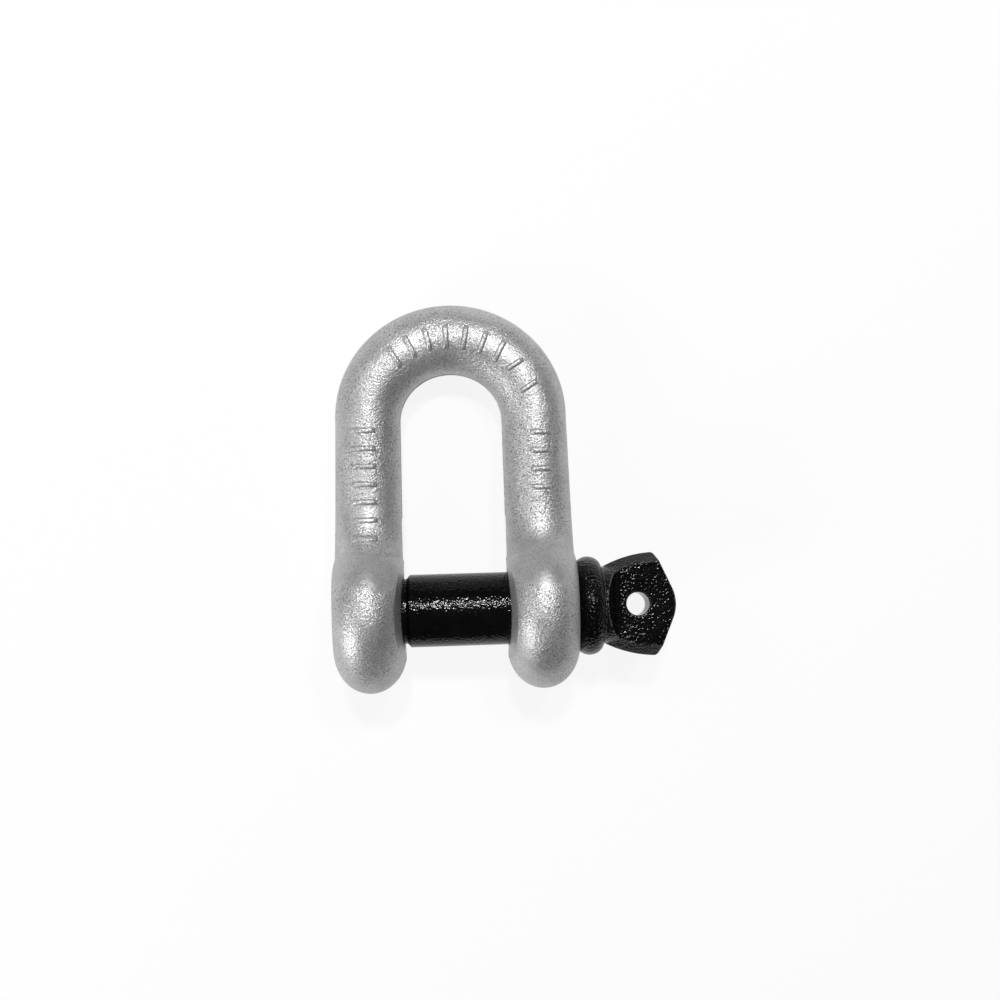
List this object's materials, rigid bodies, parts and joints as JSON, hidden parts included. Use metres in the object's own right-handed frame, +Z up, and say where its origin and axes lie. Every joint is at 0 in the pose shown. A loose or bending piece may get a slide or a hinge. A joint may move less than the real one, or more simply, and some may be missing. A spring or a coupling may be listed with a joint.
{
  "type": "screw pin shackle",
  "caption": "Forged dee shackle with a withdrawable screw pin that has a collar and a flat, drilled head.",
  "frame": {"origin": "on the pin's axis, midway between the two ears", "axes": "+X along the pin, from its threaded end to its head; +Z up as the shackle lies at rest on its ears and crown; the bow runs out along +Y, sloping down by about 10 degrees"},
  "size_m": [0.1202, 0.1346, 0.057],
  "materials": {
    "galvanised_forging": "hot-dip galvanised, light grey, matt with a fine grain",
    "black_pin": "semi-gloss black coating over a forged surface"
  },
  "bodies": {
    "bow": {"bow": "galvanised_forging"},
    "pin": {"screw_pin": "black_pin"}
  },
  "joints": [
    {"name": "pin_withdraw", "type": "slide", "parent": "bow", "child": "pin", "axis": [1, 0, 0], "range_m": [0, 0.09]}
  ]
}
